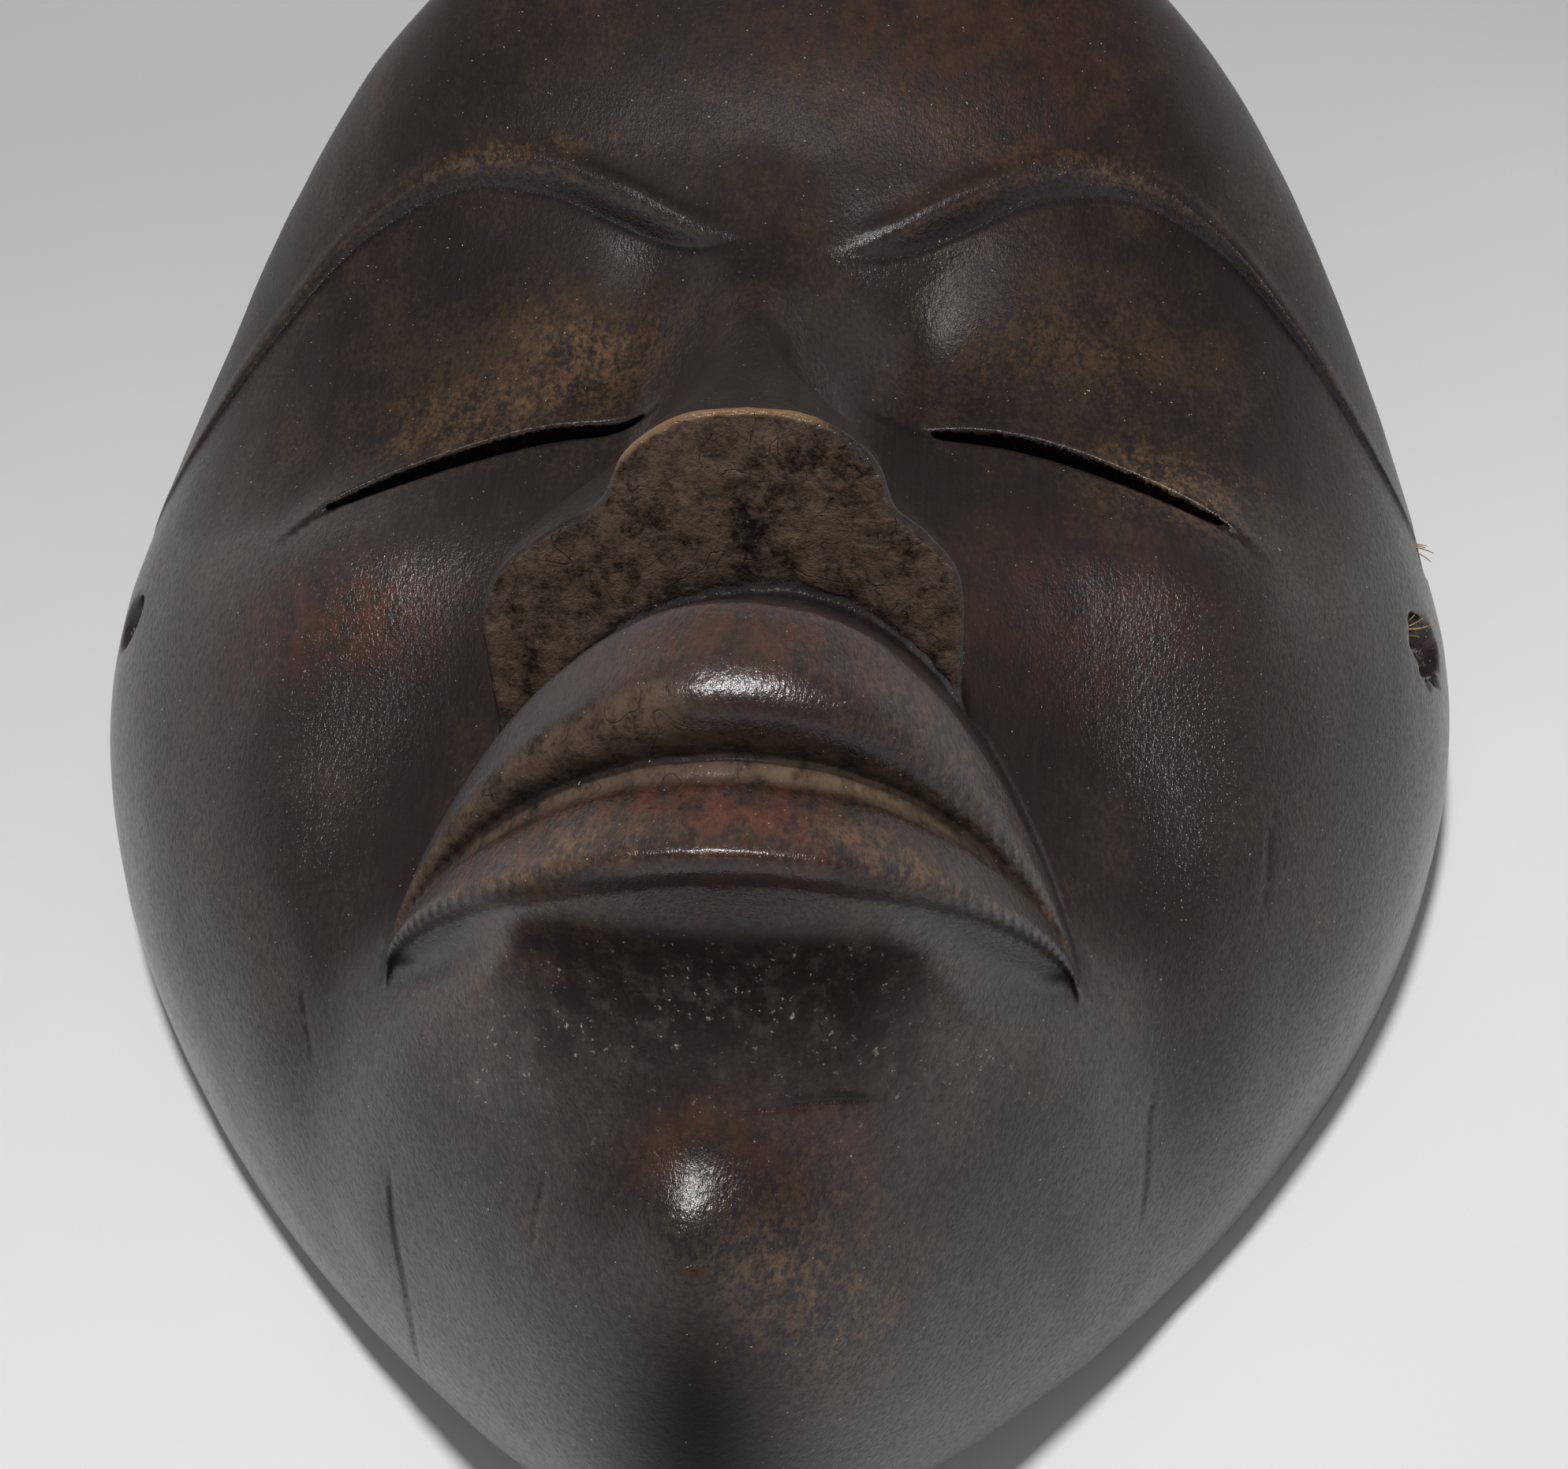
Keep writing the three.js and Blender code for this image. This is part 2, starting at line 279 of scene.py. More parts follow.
def dome(x, y, z):
    """The whole head's dome with the face carved into it."""
    chin = ramp(-y, 50, 88)
    p = mix(CHEEK_SECTION[0], CHIN_SECTION[0], chin)
    q = mix(CHEEK_SECTION[1], CHIN_SECTION[1], chin)

    def lines(at):
        width = np.maximum(half_width(at), 0.05)
        base = rim_height(at) + EDGE_HEIGHT
        fall = round_off(np.clip(at / HALF_LENGTH, 0, 1), CROWN_FALL)
        return width, base, np.maximum(middle_line(at) * fall - base, 0.5)

    width, base, rise = lines(y)
    width2, base2, rise2 = lines(y + 0.5)
    share = np.abs(x) / width
    face_x = centred(x, y)
    near = np.minimum(np.abs(face_x) / width, 1)
    height = carving(face_x, y, near) * round_off(near, (4, 2))
    t = np.maximum((z - height - base) / rise, 0)
    side_slope = p * share ** (p - 1)
    top_slope = q * t ** (q - 1)
    gauge = side_slope * share / p + top_slope * t / q
    lean_side = side_slope * share * (width2 - width) / 0.5 / width
    lean_top = top_slope / rise * ((base2 - base) + t * (rise2 - rise)) / 0.5
    upright = (side_slope / width) ** 2 + (top_slope / rise) ** 2
    steepness = np.sqrt(upright + np.minimum((lean_side + lean_top) ** 2, 6 * upright))
    distance = (gauge - 1) / np.maximum(steepness, 0.008)
    distance = overlap(distance, np.abs(y) - HALF_LENGTH, 0.8)
    return overlap(distance, rim_height(y) - z, 1.6)


def polyline_distance(px, py, points, inside):
    """Distances from a grid of points to an open path, negative where inside says so."""
    best = np.full(np.broadcast(px, py).shape, 1e9)
    for (ax, ay), (bx, by) in zip(points[:-1], points[1:]):
        dx, dy = bx - ax, by - ay
        t = np.clip(((px - ax) * dx + (py - ay) * dy) / max(dx * dx + dy * dy, 1e-9), 0, 1)
        best = np.minimum(best, (px - ax - t * dx) ** 2 + (py - ay - t * dy) ** 2)
    return np.where(inside, -1, 1) * np.sqrt(best)


def smooth_path(points, steps):
    """A Catmull-Rom path through points."""
    p = np.array(points, dtype=float)
    p = np.vstack([2 * p[0] - p[1], p, 2 * p[-1] - p[-2]])
    path = []
    for i in range(1, len(p) - 2):
        for t in np.arange(steps) / steps:
            a, b, c, d = p[i - 1:i + 3]
            path.append(0.5 * (2 * b + (c - a) * t + (2 * a - 5 * b + 4 * c - d) * t**2
                               + (3 * b - a - 3 * c + d) * t**3))
    return np.array(path + [p[-2]])


class Lookup:
    """A table of distances over three evenly spaced axes, read between its entries."""

    def __init__(self, axes, table):
        self.axes = axes
        self.table = table.astype(np.float32)

    def __call__(self, *at):
        index, part = [], []
        for axis, value in zip(self.axes, at):
            place = (value - axis[0]) / (axis[1] - axis[0])
            place = np.clip(place, 0, len(axis) - 1.001)
            whole = place.astype(np.int64)
            index.append(whole)
            part.append((place - whole).astype(np.float32))
        total = 0.0
        for i in (0, 1):
            for j in (0, 1):
                for k in (0, 1):
                    share = (part[0] if i else 1 - part[0]) * (part[1] if j else 1 - part[1])
                    share = share * (part[2] if k else 1 - part[2])
                    total = total + self.table[index[0] + i, index[1] + j, index[2] + k] * share
        return total


def nose_sections():
    """Distances to the nose's cross-sections, from its base (0) to its root (1)."""
    alongs = np.linspace(0, 1, 25)
    xs = np.arange(0, 40.1, 0.5)
    zs = np.arange(30, 90.1, 0.5)
    base = smooth_path(NOSE_OUTLINE, 6)
    away = np.linspace(0, 1, len(base))
    root = np.column_stack([NOSE_ROOT_HALF * away, NOSE_ROOT_Z - NOSE_ROOT_FALL * away**1.5])
    px, pz = np.meshgrid(xs, zs, indexing="ij")
    table = []
    for along in alongs:
        x = mix(base[:, 0], root[:, 0], ramp(along, 0, 0.45))
        z = mix(base[:, 1], root[:, 1], 1 - (1 - along) ** 1.3)
        path = np.column_stack([x, z])
        path = np.vstack([path, path[-1] + (0, -30)])
        inside = (px < np.interp(-pz, -path[:, 1], path[:, 0]))
        table.append(polyline_distance(px, pz, path, inside))
    return Lookup((alongs, xs, zs), np.array(table))


# The lips' profile down the middle of the face, in (y, z), from the upper lip's crest down.
UPPER_LIP_ROLL = [
    (-57.5, 77.2), (-58.2, 77.8), (-60, 78.2), (-63, 78.5), (-65.6, 78.7), (-67.6, 78.4), (-68.9, 77.8),
    (-69.8, 76.9), (-70.3, 75.5),
]
MOUTH_BANDS = [(-70.5, 73.6), (-70.7, 72.8), (-71, 72.8), (-71.3, 73.2), (-72.2, 73.3), (-73.2, 73.2)]
LOWER_LIP_ROLL = [
    (-73.6, 73.4), (-74.4, 73.7), (-76.5, 74.1), (-79, 74.6), (-81.2, 74.9), (-81.9, 74.7), (-82.3, 74.2),
    (-82.5, 73.2),
]
LIP_UNDERCUT = [(-82.2, 72), (-81.5, 70.3), (-81.2, 66), (-81.2, 30)]
MUZZLE_TABLE_END = -94.0


def muzzle_sections():
    """Distances to the muzzle's lengthwise sections, from the middle (0) to the corner (1)."""
    turns = np.linspace(0, 1, 33)
    ys = np.arange(MUZZLE_TABLE_END, -33.9, 0.5)
    zs = np.arange(15, 90.1, 0.5)
    py, pz = np.meshgrid(ys, zs, indexing="ij")
    lips = np.vstack([smooth_path(UPPER_LIP_ROLL, 3), MOUTH_BANDS, smooth_path(LOWER_LIP_ROLL, 3)])
    down = (lips[:, 0] - UPPER_LIP_Y) / (LOWER_LIP_Y - UPPER_LIP_Y)
    height = lips[:, 1] - mix(UPPER_LIP_Z, LOWER_LIP_Z, down)
    undercut = np.array(LIP_UNDERCUT) - (LOWER_LIP_Y, LOWER_LIP_Z)
    table = []
    for turn in turns:
        away = math.sin(turn * math.pi / 2)
        swell = 1 - away**2
        crest_y = mix(UPPER_LIP_Y, MOUTH_CORNER_Y, away**CREST_CURVE)
        crest_z = mix(MOUTH_CORNER_Z, UPPER_LIP_Z, swell**0.8)
        edge_y = mix(LOWER_LIP_Y, MOUTH_CORNER_Y - CORNER_DROP, away**LIP_EDGE_CURVE)
        edge_z = mix(MOUTH_CORNER_Z, LOWER_LIP_Z, swell**0.7)
        y = np.append(mix(crest_y, edge_y, down), edge_y + undercut[:, 0])
        z = np.append(mix(crest_z, edge_z, down) + height * swell**0.6, edge_z + undercut[:, 1])
        back = (crest_y + LIP_ROOT_BACK, crest_z - LIP_ROOT_DROP)
        path = np.vstack([[(back[0], -10), back], np.column_stack([y, z])])
        table.append(polyline_distance(py, pz, path, inside_outline(py, pz, path)))
    return Lookup((turns, ys, zs), np.array(table))


def inside_outline(px, py, path):
    """Whether points are inside a closed outline."""
    inside = np.zeros(px.shape, dtype=bool)
    for (ax, ay), (bx, by) in zip(path, np.roll(path, -1, axis=0)):
        if ay == by:
            continue
        crosses = (ay > py) != (by > py)
        inside ^= crosses & (px < ax + (py - ay) * (bx - ax) / (by - ay))
    return inside


NOSE = nose_sections()
MUZZLE = muzzle_sections()


def nose(x, y, z):
    lean = NOSE_BASE_TILT * (NOSE_TIP_Z - z)
    along = (y - NOSE_TIP_Y + lean) / (NOSE_ROOT_Y - NOSE_TIP_Y + lean)
    x = mix(x + 1.4, centred(x, y), ramp(z, 58, 74))
    sides = NOSE(np.clip(along, 0, 1), np.abs(x), z)
    base = -(y - NOSE_TIP_Y + lean) / math.hypot(1, NOSE_BASE_TILT)
    base = base + 0.14 * noise(x, y, z, 2.4, 8) + 0.08 * noise(x, y, z, 1.0, 9)
    return overlap(overlap(sides, base, 0.7), y - NOSE_ROOT_Y, 1.0), np.clip(along, 0, 1)


def muzzle(x, y, z):
    x, away, _, down = mouth_lines(x, y)
    turn = np.arcsin(away) * 2 / math.pi
    body = MUZZLE(turn, y, z) + np.maximum(MUZZLE_TABLE_END - y, 0)
    left = ramp(-x, -1, 5) * ramp(down, 0.36, 0.42)
    crusted = np.maximum(left, ramp(down, 0.50, 0.53)) * ramp(-down, -0.66, -0.6) * (away < 0.97)
    body = body + crusted * (0.12 * noise(x, y, z, (3.0, 1.6, 2.4), 13) + 0.05 * noise(x, y, z, 0.9, 14))
    return overlap(body, np.abs(x) - MOUTH_HALF, 0.8)


def eye_slits(x, y, depth):
    """The slits through the eyes, which widen under the upper lid's edge."""
    x = centred(x, y)
    away = np.abs(x)
    across = (away - (EYE_INNER + EYE_OUTER) / 2) / ((EYE_OUTER - EYE_INNER) / 2)
    gape = EYE_GAPE * np.sqrt(np.maximum(1 - across**2, 0))
    above = y - lid_edge(x) - np.clip(1.1 * depth, 0, 1.5)
    below = lid_edge(x) - gape - y
    return np.maximum(np.maximum(above, below), (np.abs(across) - 1) * 10)


def cord_holes(x, y, z):
    """The cord holes, with the right-hand ones torn by their cords."""
    best = 1e3
    for hole_y, hole_z in HOLES:
        torn = np.where(x > 0, 1.0, 0.0) * (0.5 + 0.9 * ramp(hole_y - y, 0.5, 3.5))
        frayed = torn * (0.55 + 0.6 * noise(x, y, z, 1.3, 21))
        stretch = np.where((x > 0) & (y < hole_y), 1.35, 1.0)
        ring = np.hypot((y - hole_y) / stretch, z - hole_z) - HOLE_RADIUS
        best = np.minimum(best, ring - frayed)
    return np.maximum(best, 45 - np.abs(x))


# Old scratches: the middle's x and y, how far x moves for each mm along y, the length and the depth.
SCRATCHES = [
    (-29.5, -93.5, -0.12, 12, 0.22), (39.6, -80, 0.10, 11, 0.2), (-41, -72, -0.2, 8, 0.12),
    (52, -52, 0.15, 14, 0.1), (-14, -97, 0.3, 6, 0.12), (9, -90.5, 4.0, 3, 0.25),
]


def scratches(x, y, z):
    """How deep the scratches cut into the wood."""
    depth = 0.0
    for middle_x, middle_y, lean, length, deep in SCRATCHES:
        along = y - middle_y
        off = (x - middle_x - lean * along) / math.hypot(1, lean) + 0.15 * np.sin(along * 0.7)
        fade = ramp(-np.abs(along), -length / 2, -length / 4)
        depth = depth + deep * np.exp(-(off / 0.3) ** 2) * fade * ramp(z, 8, 14)
    return depth


def front(x, y, z):
    """The outside of the mask, as a full block."""
    head = dome(x, y, z)
    nose_body, along = nose(x, y, z)
    wood = join(head, nose_body, mix(1.5, 9.0, ramp(along, 0.15, 0.7)))
    under_lip = mix(18.0, 7.0, ramp(np.abs(x), 12, 31))
    wood = join(wood, muzzle(x, y, z), mix(2.2, under_lip, ramp(-y, 73, 81)))
    wood = wood + 0.16 * noise(x, y, z, (11, 17, 11), 3) + 0.07 * noise(x, y, z, (4, 7, 4), 4)
    wood = wood + scratches(x, y, z)
    wood = cut(wood, eye_slits(x, y, -wood), 0.4)
    return cut(wood, cord_holes(x, y, z), 0.8)


def hollow(x, y, z):
    """The hollow in the back, as a block that reaches out under the rim."""
    crown = HALF_LENGTH - HOLLOW_CROWN_GAP
    chin = -HALF_LENGTH + HOLLOW_CHIN_GAP
    width = np.maximum(half_width(y, crown, chin, HALF_WIDTH - RIM_WIDTH), 0.05)
    roof = hollow_line(y) * round_off(np.clip(y / crown, 0, 1), CROWN_FALL)
    p, q = HOLLOW_SECTION
    share = np.abs(x) / width
    t = np.maximum((z - rim_height(y) - 0.5) / np.maximum(roof, 0.5), 0)
    gauge = share**p + t**q
    steepness = np.hypot(p * share ** (p - 1) / width, q * t ** (q - 1) / np.maximum(roof, 0.5))
    distance = (gauge - 1) / np.maximum(steepness, 0.01)
    distance = overlap(distance, y - crown, 2.0)
    distance = overlap(distance, chin - y, 2.0)
    gouges = 0.55 * np.abs(noise(x, y, z, (7, 22, 9), 11)) + 0.25 * noise(x, y, z, (14, 30, 14), 12)
    return overlap(distance - gouges, -8 - z, 0.5)


# ------------------------------------------------------------------ meshing

TETRAHEDRON = np.array([(1, 1, 1), (1, -1, -1), (-1, 1, -1), (-1, -1, 1)]) / math.sqrt(3)


def probe(field, points, reach):
    """The field's mean value round each point and its gradient, from a small tetrahedron's corners."""
    value, slope = 0.0, 0.0
    for way in TETRAHEDRON:
        at = field(*(points + reach * way).T)
        value = value + at / 4
        slope = slope + at[:, None] * way * (0.75 / reach)
    return value, slope


def bend(field, points, reach):
    """How sharply the surface bends at points on it, per mm: over 0 at an edge, under 0 in a crease."""
    return 6 * probe(field, points, reach)[0] / reach**2


def settle(field, points, limit):
    """Moves mesh points onto the field's surface, where a step brings them nearer to it."""
    for _ in range(2):
        here, slope = probe(field, points, 0.04)
        size = np.maximum((slope**2).sum(axis=1), 0.05)
        move = -(here / size)[:, None] * slope
        length = np.linalg.norm(move, axis=1)
        move *= np.minimum(1, limit / np.maximum(length, 1e-9))[:, None]
        moved = points + move
        nearer = np.abs(field(*moved.T)) < np.abs(here)
        points = np.where(nearer[:, None], moved, points)
    return points


def near_surface(field, axes, reach, block):
    """Which grid points may lie within reach of the surface, and a rough distance for the rest."""
    middles = [axis[::block] + (axis[1] - axis[0]) * (block - 1) / 2 for axis in axes]
    x, y, z = np.meshgrid(*middles, indexing="ij", sparse=True)
    rough = np.broadcast_to(field(x, y, z), [len(middle) for middle in middles])
    for axis in range(3):
        rough = np.repeat(rough, block, axis=axis)
    rough = rough[:len(axes[0]), :len(axes[1]), :len(axes[2])].astype(np.float32)
    half_diagonal = math.sqrt(3) / 2 * block * (axes[0][1] - axes[0][0])
    return np.abs(rough) < reach + 1.7 * half_diagonal, rough


def mesh_field(name, field, low, high, step):
    """Meshes the surface where a field is zero, inside a box given in mm."""
    axes = [np.arange(a, b + step, step, dtype=np.float32) for a, b in zip(low, high)]
    band = 2.5 * step
    near, values = near_surface(field, axes, band, 5)
    i, j, k = np.nonzero(near)
    values[near] = field(axes[0][i], axes[1][j], axes[2][k])
    values = np.clip(values, -band, band)
    grid = openvdb.FloatGrid(background=band)
    grid.copyFromArray(values, tolerance=1e-3)
    points, quads = grid.convertToQuads(isovalue=0.0)
    points = points.astype(np.float64) * step + [a[0] for a in axes]
    points = settle(field, points, 0.5 * step)
    mesh = bpy.data.meshes.new(name)
    mesh.from_pydata((points * MM).tolist(), [], quads.tolist())
    mesh.update()
    piece = bpy.data.objects.new(name, mesh)
    bpy.context.collection.objects.link(piece)
    return piece


def store(mesh, name, values):
    """Stores one number for each vertex, for the materials to read."""
    layer = mesh.attributes.new(name, "FLOAT", "POINT")
    layer.data.foreach_set("value", np.ascontiguousarray(values, dtype=np.float32))


def whole(x, y, z):
    return cut(front(x, y, z), hollow(x, y, z), 1.0)


def refine(mesh, field, turn):
    """Halves the edges that the surface turns across by more than that many degrees."""
    points = vertex_places(mesh)
    normals = unit(probe(field, points, 0.15)[1])
    ends = np.zeros(len(mesh.edges) * 2, dtype=np.int64)
    mesh.edges.foreach_get("vertices", ends)
    ends = ends.reshape(-1, 2)
    bends = (normals[ends[:, 0]] * normals[ends[:, 1]]).sum(axis=1) < math.cos(math.radians(turn))
    edit = bmesh.new()
    edit.from_mesh(mesh)
    edit.edges.ensure_lookup_table()
    sharp = [edit.edges[i] for i in np.nonzero(bends)[0].tolist()]
    bmesh.ops.subdivide_edges(edit, edges=sharp, cuts=1, use_grid_fill=True)
    edit.to_mesh(mesh)
    edit.free()
    kept = len(points)
    points = vertex_places(mesh)
    points[kept:] = settle(field, points[kept:], 0.25)
    place_vertices(mesh, points)


def vertex_places(mesh):
    places = np.zeros(len(mesh.vertices) * 3)
    mesh.vertices.foreach_get("co", places)
    return places.reshape(-1, 3) / MM


def place_vertices(mesh, points):
    mesh.vertices.foreach_set("co", (points * MM).ravel())
    mesh.update()


def unit(vectors):
    return vectors / np.maximum(np.linalg.norm(vectors, axis=1), 1e-9)[:, None]


def spots(x, y, places):
    """Overlapping soft patches, each given by its centre, reach and strength."""
    total = 0
    for centre_x, centre_y, reach_x, reach_y, strength in places:
        total = total + strength * hill(x, y, centre_x, centre_y, reach_x, reach_y)
    return np.clip(total, 0, 1)


RED_SPOTS = [
    (-39, -31, 8, 5, 0.5), (-48, -30, 9, 6, 0.3), (0, -94, 5, 3, 0.5), (11, -93, 5, 4, 0.35),
    (2, -62, 14, 6, 0.45), (-2, -76, 16, 4, 0.5), (6, -79, 9, 4, 0.5), (-16, -78, 8, 5, 0.3),
    (20, 45, 20, 20, 0.25), (35, -30, 14, 10, 0.25),
]
TAN_SPOTS = [
    (-20, 5, 8, 5, 0.62), (-27, -3, 13, 4, 0.42), (-34, -9, 9, 4, 0.35), (43, -10, 10, 4, 0.5),
    (46, -15, 8, 4, 0.45),
    (-30, 28, 12, 1.6, 0.5), (37, 28, 12, 1.6, 0.4),
    (30, 6, 14, 8, 0.22), (-12, -79, 10, 3.5, 0.55), (16, -79, 10, 3, 0.5), (8, -104, 7, 4, 0.45),
    (20, -66, 9, 5, 0.35), (0, 40, 30, 18, 0.08), (12, -101, 9, 6, 0.25),
]
RUB_SPOTS = [(0, 45, 45, 30, 0.3), (-28, 2, 22, 14, 0.8), (34, 4, 22, 14, 0.5), (0, -100, 28, 14, 0.5)]
DUST_SPOTS = [(3, -84.5, 14, 3.2, 1.0), (-16, -86, 12, 4, 0.6), (19, -84, 11, 3, 0.7), (2, -90, 20, 4, 0.35)]
POLISH_SPOTS = [
    (0, -103, 5, 8, 1.0), (22, 12, 12, 9, 0.3), (-50, -23, 22, 7, 0.9), (9.5, 8, 4, 7, 0.6),
    (-58, -45, 20, 30, 0.9), (56, -45, 20, 30, 0.9),
]
DULL_SPOTS = [
    (-27, -36, 7, 18, 0.7), (28, -36, 7, 18, 0.7), (0, -111, 8, 8, 1.0), (24, 13, 10, 9, 0.7),
    (0, 55, 60, 30, 1.0), (-68, 25, 14, 25, 0.5), (68, 25, 14, 25, 0.5),
]


def mouth_parts(x, y, z):
    """Which points are on the lips, on the crusted band between them and in the crack beside it."""
    mouth_x, away, edge, down = mouth_lines(x, y)
    lips = ramp(down, -0.03, 0.03) * ramp(-down, -1.02, -0.98) * ramp(z, 44, 47) * ramp(-away, -1, -0.97)
    band = lips * ramp(down, 0.5, 0.53) * ramp(-down, -0.66, -0.61) * ramp(mouth_x, -8, 6)
    above_band = np.maximum(ramp(-x, -1, 5) * ramp(down, 0.34, 0.40), ramp(down, 0.50, 0.52))
    split = lips * ramp(-down, -0.66, -0.61) * above_band
    return lips, band, split * (1 - band), mouth_x, edge


def lip_wall(y, z, normals, mouth_x, edge):
    """Which points are on the upright wall under the lower lip."""
    wall = ramp(-normals[:, 1], 0.5, 0.85) * ramp(edge - y, -2.2, -1.5) * ramp(y, -95, -87)
    return wall * ramp(-np.abs(mouth_x), -34.5, -32) * ramp(-z, -73, -71)


def nose_base(x, y, z, normals):
    """Which points are on the flat cut under the nose."""
    facing = ramp(-normals[:, 1], 0.86, 0.93) * ramp(y, -57, -55) * ramp(-y, 34, 36) * ramp(z, 45, 50)
    return facing * ramp(-np.abs(x), -27, -25)


def edge_wear(x, y, z, sharp, at_slit):
    """How far each edge has worn pale: most at the nose's tip, and less at its wings."""
    wear = np.clip(sharp * 1.1 - 0.25, 0, 1) * (1 - 0.9 * at_slit)
    nose_edge = np.exp(-((y + 39) / 4) ** 2) * ramp(z, 69, 77) * ramp(-np.abs(x + 2), -15, -7)
    wing_edge = np.exp(-((y + 44) / 9) ** 2) * ramp(z, 45, 50) * ramp(-np.abs(x), -27, -24)
    return wear, 0.5 + 0.6 * nose_edge - 0.25 * wing_edge


def paint_mask(mesh, points, normals):
    """Stores where the wood is worn, dusty, stained or bare, and where shade is painted on."""
    x, y, z = points.T
    inside = ramp(hollow(x, y, z), 0.8, 0.2) * ramp(z, -1, 0)
    off_tips = ramp(-np.abs(y), -116, -111)
    lips, band, split, mouth_x, edge = mouth_parts(x, y, z)
    wall = lip_wall(y, z, normals, mouth_x, edge)
    over_lid = y - lid_edge(centred(x, y))
    at_slit = ramp(-np.abs(over_lid), -3.0, -1.8) * ramp(-np.abs(x), -53, -50) * ramp(np.abs(x), 10, 13)
    slit_shade = 0.8 * at_slit * ramp(over_lid, -1.3, -0.8) * ramp(-over_lid, -0.5, 0)
    wear, share = edge_wear(x, y, z, bend(whole, points, 0.5), at_slit)
    # painted shade: darker in the creases, found from how sharply the surface bends inwards
    creases = np.clip(-bend(whole, points, 1.6) * 1.4 - 0.12, 0, 1) * (1 - inside) * off_tips
    # a darker patch under the chin's knob
    below_knob = 0.6 * hill(x, y, 0, -111, 6, 8)
    dull = np.clip(spots(x, y, DULL_SPOTS) + slit_shade + wall, 0, 1)
    glossy_lips = lips * (1 - band) * (1 - split)
    sides = ramp(1 - normals[:, 2], 0.04, 0.32)
    shine = (spots(x, y, POLISH_SPOTS) + sides * (1 - lips)) * (1 - dull)
    store(mesh, "edge", np.clip(wear * (1 - inside) * off_tips * share, 0, 1))
    # painted shade: the creases, the eye slits' lid walls and the wall under the lower lip, and a darker
    # patch under the chin's knob
    store(mesh, "painted_shade", np.clip(creases + slit_shade + below_knob + 0.5 * wall, 0, 1))
    store(mesh, "crust", np.clip(nose_base(x, y, z, normals) + 0.6 * split, 0, 1))
    store(mesh, "ochre", band)
    store(mesh, "bare", inside)
    store(mesh, "red", spots(x, y, RED_SPOTS) * (1 - inside))
    store(mesh, "tan", spots(x, y, TAN_SPOTS) * (1 - inside))
    store(mesh, "dust", spots(x, y, DUST_SPOTS) * ramp(z, 40, 44) * ramp(-z, -66, -61))
    store(mesh, "rub", spots(x, y, RUB_SPOTS))
    store(mesh, "polish", np.clip(0.8 * glossy_lips + shine, 0, 1))
    store(mesh, "smooth", np.clip(glossy_lips + hill(x, y, 0, -103, 5, 8), 0, 1))


def carve_mask():
    low = BODY_LOW - 3
    high = BODY_HIGH + 3
    mask = mesh_field("mask_wood", whole, low, high, MESH_STEP)
    mesh = mask.data
    refine(mesh, whole, 14)
    refine(mesh, whole, 16)
    points = vertex_places(mesh)
    normals = unit(probe(whole, points, 0.2)[1])
    paint_mask(mesh, points, normals)
    mesh.polygons.foreach_set("use_smooth", [True] * len(mesh.polygons))
    mesh.normals_split_custom_set_from_vertices(normals.tolist())
    print("mask mesh:", len(mesh.vertices), "vertices", len(mesh.polygons), "faces")
    return mask


def tube_faces(rings, sides, first):
    """The faces of one closed tube, whose points start at the given number."""
    faces = []
    for ring in range(rings - 1):
        for side in range(sides):
            a = first + ring * sides + side
            b = first + ring * sides + (side + 1) % sides
            faces.append((a, b, b + sides, a + sides))
    faces.append(tuple(first + side for side in reversed(range(sides))))
    faces.append(tuple(first + (rings - 1) * sides + side for side in range(sides)))
    return faces


def tube_points(path, radius, sides):
    """Rings of points round a path."""
    forward = unit(np.gradient(path, axis=0))
    across = unit(np.cross(forward, (0, 0, 1)))
    above = np.cross(forward, across)
    points = []
    for ring in range(len(path)):
        for side in range(sides):
            angle = 2 * math.pi * side / sides
            out = math.cos(angle) * across[ring] + math.sin(angle) * above[ring]
            points.append((path[ring] + radius[ring] * out) * MM)
    return points


STRAND_RADIUS = 0.13
STRAND_COUNT, STRAND_RINGS, STRAND_SIDES = 5, 22, 6


def strands(name, node, hole, curl, seed):
    """A wisp of plant fibre in a right-hand cord hole, as fine strands that spread at the end."""
    hole_y, hole_z = hole
    low, high = (np.array(corner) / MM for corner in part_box(node))
    random = np.random.default_rng(seed)
    along = np.linspace(0, 1, STRAND_RINGS)
    radius = STRAND_RADIUS * (1 - 0.6 * along**2)
    points, faces = [], []
    for _ in range(STRAND_COUNT):
        spread = random.uniform(-1, 1, 2)
        reach = random.uniform(0.55, 1.0)
        x = mix(low[0], high[0], along * reach)
        y = hole_y + curl * 0.9 * along**2 + spread[0] * (0.25 + 1.3 * along**3)
        y = y + 0.12 * np.sin(9 * along + seed)
        z = hole_z + 2.1 + spread[1] * (0.2 + 0.8 * along**3) - 0.5 * along**2
        faces += tube_faces(STRAND_RINGS, STRAND_SIDES, len(points))
        points += tube_points(np.column_stack([x, y, z]), radius, STRAND_SIDES)
    mesh = bpy.data.meshes.new(name)
    mesh.from_pydata([tuple(point) for point in points], [], faces)
    mesh.polygons.foreach_set("use_smooth", [True] * len(mesh.polygons))
    mesh.materials.append(fibre_material())
    piece = bpy.data.objects.new(name, mesh)
    bpy.context.collection.objects.link(piece)
    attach(piece, BODY)
    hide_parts(node)


# ------------------------------------------------------------------ materials

